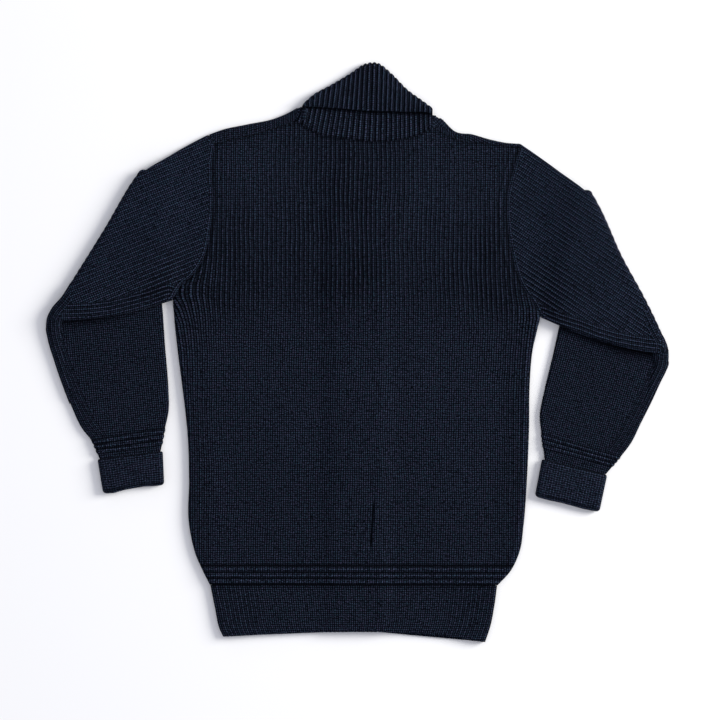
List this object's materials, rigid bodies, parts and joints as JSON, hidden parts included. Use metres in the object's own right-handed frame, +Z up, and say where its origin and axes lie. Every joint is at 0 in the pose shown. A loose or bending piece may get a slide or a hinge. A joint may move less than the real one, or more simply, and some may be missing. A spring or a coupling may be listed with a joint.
{
  "type": "cardigan",
  "caption": "Heavy ribbed wool shawl-collar cardigan, buttoned and laid flat on its front with the back up, sleeves folded at the elbow and cuffs turned back.",
  "frame": {"origin": "on the surface it lies on, below the centre of its bounding box", "axes": "+Z up from the surface, +Y towards the collar, +X to the right as seen from above"},
  "size_m": [0.878, 0.816, 0.0147],
  "materials": {
    "knit": "matt ribbed wool",
    "button": "satin"
  },
  "bodies": {
    "root": {"back": "knit", "front_left": "knit", "front_right": "knit", "band_left": "knit", "band_right": "knit", "collar": "knit", "sleeve_left": "knit", "sleeve_right": "knit", "cuff_left": "knit", "cuff_right": "knit", "hem_back": "knit", "hem_left": "knit", "hem_right": "knit", "button_1": "button", "button_2": "button", "button_3": "button", "button_4": "button", "button_5": "button"}
  },
  "joints": []
}
